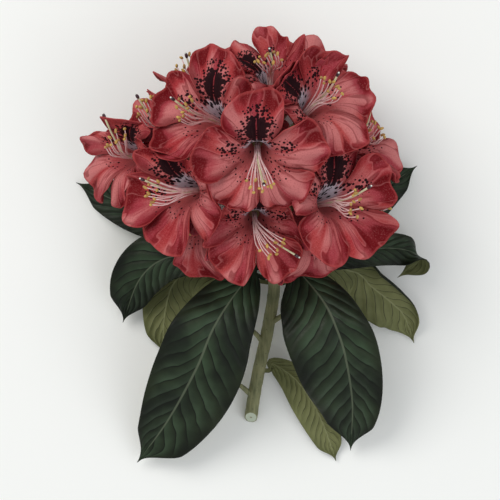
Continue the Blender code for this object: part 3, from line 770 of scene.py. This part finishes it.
def makeStreakGroup():  # lengthwise streaks of a petal from its own map, with softer folds between, and masks of painted shade at lobe edges and of painted shadow and highlight along fold lines
    group, _ = openGroup("petalStreaks")
    _, across, along = mapPlace(group, "lobeMap")
    levels = []
    for spread, drawn, detail in ((11.0, 3.0, 3.0), (2.6, 2.0, 1.0)):  # fine streaks, then broad folds
        place = addNode(group, "ShaderNodeCombineXYZ",
                        {"X": times(group, across, spread), "Y": times(group, along, drawn)})
        levels.append(noiseAt(group, place.outputs[0], 1.0, detail))
    streak, fold = levels
    # Along each fold line: a painted fold shadow on one side and a painted highlight on the other
    foldShadowMask = times(group, ramp(group, fold, 0.495, 0.510), ramp(group, fold, 0.59, 0.51))
    foldHighlightMask = times(group, ramp(group, fold, 0.44, 0.49), ramp(group, fold, 0.50, 0.49))
    outer = ramp(group, along, 0.40, 0.62)
    lobe = calc(group, "DIVIDE", across, 3.0)
    aside = calc(group, "ABSOLUTE", calc(group, "SUBTRACT", lobe, calc(group, "ROUND", lobe)))
    aside = times(group, aside, 3.0)
    # Lobes darken towards their side edges, where neighbours overlap: painted shade
    uneven = times(group, calc(group, "SUBTRACT", fold, 0.5), 0.5)
    shaded = ramp(group, calc(group, "ADD", aside, uneven), 0.60, 1.0)
    return closeGroup(
        group, Streak=ramp(group, streak, 0.32, 0.68), Fold=ramp(group, fold, 0.35, 0.65),
        Rim=ramp(group, calc(group, "MAXIMUM", aside, along), 0.955, 0.985),
        Margin=times(group, shaded, ramp(group, along, 0.35, 0.60)),
        Crease=times(group, foldShadowMask, outer), Lip=times(group, foldHighlightMask, outer))


petalStreaks = makeStreakGroup()
petalTints = dict(deep=(0.140, 0.004, 0.007), mid=(0.370, 0.034, 0.040), warm=(0.440, 0.070, 0.068),
                  pale=(0.600, 0.200, 0.195), cool=(0.310, 0.050, 0.080), blotch=(0.008, 0.003, 0.005),
                  throat=(0.56, 0.55, 0.62))


def ellipseDistance(tree, x, y, middle, radii):  # 1 on the rim of an ellipse on the bloom's open face
    spot = addNode(tree, "ShaderNodeCombineXYZ", {
        "X": calc(tree, "DIVIDE", calc(tree, "SUBTRACT", x, middle[0]), radii[0]),
        "Y": calc(tree, "DIVIDE", calc(tree, "SUBTRACT", y, middle[1]), radii[1])})
    return addNode(tree, "ShaderNodeVectorMath", {0: spot.outputs[0]}, operation="LENGTH").outputs["Value"]


def petalGround(tree, first, second):  # the petal's colour: mottled, with a painted highlight on ridges and painted shade in valleys, at overlapped lobe edges and along fold lines
    streaks = useGroup(tree, petalStreaks)
    tint = useGroup(tree, mottle, Size=38.0, Grain=1400.0)
    ridge = addNode(tree, "ShaderNodeAttribute", attribute_name="ridge").outputs["Fac"]
    # Ridge height with a little streak noise: ridges get a painted highlight, valleys get painted shade
    uneven = calc(tree, "ADD", ridge, times(tree, calc(tree, "SUBTRACT", streaks["Streak"], 0.5), 0.3))
    pale, deep = petalTints["pale"], petalTints["deep"]
    colour = layered(
        tree, first, (tint["Patch"], 1, second), (streaks["Fold"], 0.4, petalTints["cool"]),
        (ramp(tree, uneven, 0.05, 1.0, 0.0, 0.8), 1, pale),
        (ramp(tree, uneven, 0.05, -0.9, 0.0, 0.92), 1, deep),
        (ramp(tree, tint["Fine"], 0.50, 0.75, 0.0, 0.22), 1, pale),
        (ramp(tree, tint["Fine"], 0.50, 0.30, 0.0, 0.25), 1, deep), (streaks["Margin"], 0.70, deep),
        (streaks["Crease"], 0.55, deep), (streaks["Lip"], 0.30, pale),
        (streaks["Rim"], 0.45, petalTints["warm"]))
    return colour, streaks, tint


# The marks on a bloom's open face: middles and radii of ellipses, in shares of the bloom's radius. Those beside
# and below the blotch are on both sides of it
marks = dict(throat=((0, 0.16), (0.21, 0.13)), core=((0, 0.47), (0.19, 0.27)),
             beside=((0.37, 0.20), (0.23, 0.15)), below=((0.25, -0.16), (0.26, 0.22)),
             dotScale=22.0, dotSpread=0.75, dotSize=0.53)


def makePetalFront():
    made, tree, shader = newMaterial("petalFront", petalTints["mid"], 0.6, 0.04)
    colour, streaks, tint = petalGround(tree, petalTints["mid"], petalTints["warm"])
    place, x, y = mapPlace(tree, "faceMap")
    aside = calc(tree, "ABSOLUTE", x)
    away = ellipseDistance(tree, x, y, (0, 0), (1, 1))
    feather = times(tree, calc(tree, "SUBTRACT", streaks["Streak"], 0.5), 0.5)
    pale = calc(tree, "ADD", ellipseDistance(tree, x, y, *marks["throat"]), feather)
    core = ellipseDistance(tree, x, y, *marks["core"])
    beside = ellipseDistance(tree, aside, y, *marks["beside"])
    below = ellipseDistance(tree, aside, y, *marks["below"])
    halo = calc(tree, "MAXIMUM", ramp(tree, core, 2.0, 1.2), ramp(tree, beside, 1.3, 0.5))
    halo = calc(tree, "MAXIMUM", halo, times(tree, ramp(tree, below, 1.2, 0.7), 0.55))
    cells = addNode(tree, "ShaderNodeTexVoronoi", {"Vector": place, "Scale": marks["dotScale"],
                                                   "Randomness": marks["dotSpread"]}).outputs["Distance"]
    spot = calc(tree, "SUBTRACT", times(tree, halo, marks["dotSize"]), cells)
    dots = times(tree, ramp(tree, spot, -0.03, 0.05), ramp(tree, halo, 0.05, 0.15))
    net = times(tree, calc(tree, "SUBTRACT", cells, 0.35), 0.55)
    solid = ramp(tree, calc(tree, "ADD", core, net), 1.02, 0.92)
    line = times(tree, ramp(tree, aside, 0.014, 0.005), ramp(tree, y, 0.20, 0.30, 0.0, 0.75))
    solid = times(tree, solid, calc(tree, "SUBTRACT", 1.0, line))
    colour = layered(tree, colour, (ramp(tree, away, 0.30, 0.12, 0.0, 0.5), 1, petalTints["pale"]),
                     (ramp(tree, pale, 1.15, 0.6, 0.0, 0.95), 1, petalTints["throat"]),
                     (calc(tree, "MAXIMUM", dots, solid), 0.97, petalTints["blotch"]))
    height = calc(tree, "ADD", times(tree, streaks["Streak"], 0.5), times(tree, tint["Fine"], 0.3))
    dress(tree, shader, colour, height, 0.0005, 0.45)
    return made


def makePetalBack():
    made, tree, shader = newMaterial("petalBack", petalTints["cool"], 0.6, 0.04)
    colour, streaks, _ = petalGround(tree, petalTints["mid"], petalTints["cool"])
    dress(tree, shader, colour, streaks["Streak"], 0.0005, 0.45)
    return made


for number, bloom in enumerate(blooms.values()):
    placeBloom(number, bloom)
partSpaces(list(blooms.values()))
petalSkins = [makePetalFront(), makePetalBack()]
for name, bloom in blooms.items():
    makePetals(name, bloom, petalSkins)
print("petals made:", len(blooms))

# Flower stalks with their calyx cups
stalks = dict(radius=1.3, flare=0.35, swell=0.25, bow=0.06, stop=1.5, calyxRadius=3.0,
              calyxHeights=(-3.5, -1.5, 0.0, 1.5), calyxEdge=0.25)


def makeStalks():
    mesh = bmesh.new()
    rod = tubeShape(12, 14)
    for bloom in blooms.values():
        start, end = bloom["stalkEnd"], bloom["foot"] - stalks["stop"] * bloom["axis"]
        middle = start.lerp(end, 0.55) + stalks["bow"] * (end - start).length * bloom["outward"]
        sweep(mesh, rod, smoothPath([start, middle, end], 15), lambda share: stalks["radius"]
              * (1 + stalks["flare"] * (1 - share) ** 6 + stalks["swell"] * share ** 8))
        cup = [bloom["foot"] + height * bloom["axis"] for height in stalks["calyxHeights"]]
        sweep(mesh, rod, smoothPath(cup, 15),
              lambda share: stalks["radius"] + (stalks["calyxRadius"] - stalks["radius"])
              * smoothStep(0.0, 0.75, share) * (1 - stalks["calyxEdge"] * smoothStep(0.9, 1.0, share)))
    skin = mottledSkin("stalkSkin", (0.30, 0.20, 0.09), (0.20, 0.21, 0.075), (0.36, 0.13, 0.085), 0.6,
                       110.0, 1500.0, 0.0002, 0.6)
    addPiece("flower_stalks", mesh, [skin])


makeStalks()
print("stalks made")

# Stamens: ten fine filaments with their anthers, and one thicker style with its stigma, in each bloom
stamens = dict(
    count=10, length=27.0, hiddenShare=0.8, leastRise=7.0, riseFlat=0.25, riseUpright=0.65, leastHeight=2.5,
    radius=0.36, styleRadius=0.46, styleExtra=5, fan=7.0, spread=2.2, uneven=3.4, arc=0.035, rootRing=1.2,
    turn=2.399, sag=1.6, styleSag=1.5, splay=0.12, steps=12, antherTilt=0.9, antherHalfLength=1.45,
    antherHalfWidth=0.82, stigmaHalf=0.95, stigmaLong=1.8, highlightBeadRadius=0.5, droop=7.0)


def throatOf(bloom):
    _, height = onProfile(bloom["profile"], 0.42)
    return bloom["foot"] + height * bloom["axis"]


def stamenTarget(bloom, offset, length):  # the point above the throat that shows this far from it in plan
    throat = throatOf(bloom)
    if offset is None:
        length *= bloom.get("stamenShare", stamens["hiddenShare"])
        return throat + length * bloom["axis"] - stamens["droop"] * length / stamens["length"] * bloom["up"]
    rise = max(length ** 2 - offset[0] ** 2 - offset[1] ** 2, stamens["leastRise"] ** 2) ** 0.5
    upright = stamens["riseFlat"] + stamens["riseUpright"] * bloom["axis"].z
    return throat + Vector((offset[0], offset[1], rise * upright))


def aboveFloor(point):
    return Vector((point.x, point.y, max(point.z, stamens["leastHeight"])))


def makeStamens():
    s = stamens
    filaments, anthers, styles, stigmas = (bmesh.new() for _ in range(4))
    rod, ball, beads = tubeShape(6, s["steps"]), ballShape(8, 6), ballShape(12, 8)
    for bloom in blooms.values():
        throat, number = throatOf(bloom), bloom["number"]
        middle = stamenTarget(bloom, bloom.get("anthers"), s["length"])
        lean = middle - throat
        across = lean.cross(Vector((0.02, 0.01, 1))).normalized()
        upward = across.cross(lean.normalized())
        for index in range(s["count"]):
            turn = s["turn"] * index + number
            fan = s["fan"] * (2 * index / (s["count"] - 1) - 1)
            stray = across * fan + upward * s["spread"] * math.sin(turn)
            stray += lean.normalized() * (s["uneven"] * math.sin(1.9 * index + number) - s["arc"] * fan * fan)
            ring = math.cos(turn) * bloom["side"] + math.sin(turn) * bloom["up"]
            inThroat = throat + 0.25 * fan * across + 0.8 * math.sin(turn) * bloom["up"]
            end = aboveFloor(middle + stray)
            bend = inThroat.lerp(end, 0.55) - s["sag"] * bloom["up"] + s["splay"] * fan * across
            path = smoothPath([bloom["foot"] + s["rootRing"] * ring, inThroat, bend, end], s["steps"] + 1)
            sweep(filaments, rod, path, lambda share: s["radius"] * (1.2 - 0.4 * share))
            ahead = (path[-1] - path[-2]).normalized()
            tipped = across * math.sin(3.3 * index) + upward * math.cos(2.7 * index)
            tipped = (ahead + s["antherTilt"] * tipped).normalized()
            stretchBall(anthers, ball, end + 0.5 * ahead, tipped, s["antherHalfLength"], s["antherHalfWidth"])
        end = aboveFloor(stamenTarget(bloom, bloom.get("stigma"), s["length"] + s["styleExtra"]))
        bend = throat.lerp(end, 0.5) - s["styleSag"] * bloom["up"]
        path = smoothPath([bloom["foot"], throat, bend, end], s["steps"] + 1)
        sweep(styles, rod, path, lambda share: s["styleRadius"] * (1 + 0.25 * share))
        ahead, long = (path[-1] - path[-2]).normalized(), s["stigmaLong"] * s["stigmaHalf"]
        stretchBall(stigmas, beads, end, ahead, long, s["stigmaHalf"])
        # A pale bead on the stigma's tip stands for a painted highlight
        stretchBall(stigmas, beads, end + long * ahead, ahead, s["highlightBeadRadius"], s["highlightBeadRadius"], 1)
    addPiece("filaments", filaments, [stamenSkin("filament", (0.86, 0.66, 0.64), (0.80, 0.48, 0.48), 0.45)])
    addPiece("anthers", anthers, [stamenSkin("anther", (0.62, 0.40, 0.09), (0.34, 0.17, 0.05), 0.6)])
    addPiece("styles", styles, [stamenSkin("style", (0.66, 0.68, 0.40), (0.60, 0.52, 0.36), 0.45)])
    addPiece("stigmas", stigmas, [stamenSkin("stigma", (0.030, 0.012, 0.018), (0.06, 0.02, 0.03), 0.3),
                                  stamenSkin("stigmaHighlight", (0.82, 0.82, 0.76), (0.70, 0.72, 0.66), 0.12)])


def stamenSkin(name, first, second, roughness):
    return mottledSkin(name, first, first, second, roughness, 300.0, 2500.0, 0.0001, 0.4)


makeStamens()
print("stamens made")

# Floor, light and camera
stage = dict(floorSize=24.0, floorColour=(0.95, 0.955, 0.93), world=0.58, keyPower=12.0, fillPower=5.0,
             aim=(0, 0.02, 0.05), lens=250.0, sensor=36.0, photoWidth=500, millimetresPerPixel=0.55,
             planeHeight=50.0)


def makeFloor():
    mesh = bmesh.new()
    bmesh.ops.create_grid(mesh, x_segments=1, y_segments=1, size=stage["floorSize"] / 2)
    data = keptShape(mesh, "floor")
    data.materials.append(newMaterial("paleFloor", stage["floorColour"], 0.9, 0.1)[0])
    floor = linked("floor", data)


def addLight(name, place, size, power, colour):
    data = bpy.data.lights.new(name, "AREA")
    data.size = size
    data.energy = power
    data.color = colour
    light = linked(name, data)
    light.location = place
    light.rotation_euler = (Vector(stage["aim"]) - Vector(place)).to_track_quat("-Z", "Y").to_euler()


def makeStage():
    makeFloor()
    addLight("keyLight", (-0.75, 0.70, 1.35), 0.9, stage["keyPower"], (1.0, 0.985, 0.95))
    addLight("fillLight", (0.9, -0.5, 1.2), 1.2, stage["fillPower"], (0.93, 0.97, 1.0))
    world = bpy.data.worlds.new("softWorld")
    world.use_nodes = True
    sky = world.node_tree.nodes["Background"].inputs
    sky["Color"].default_value = (0.96, 0.98, 1.0, 1)
    sky["Strength"].default_value = stage["world"]
    scene = bpy.context.scene
    scene.world = world
    scene.view_settings.view_transform = "Standard"
    data = bpy.data.cameras.new("camera")
    data.lens = stage["lens"]
    data.sensor_width = stage["sensor"]
    field = stage["photoWidth"] * stage["millimetresPerPixel"] * metres
    camera = linked("camera", data)
    camera.location = (shift.x * metres, shift.y * metres,
                       stage["planeHeight"] * metres + field * stage["lens"] / stage["sensor"])
    scene.camera = camera


makeStage()
print("stage set")
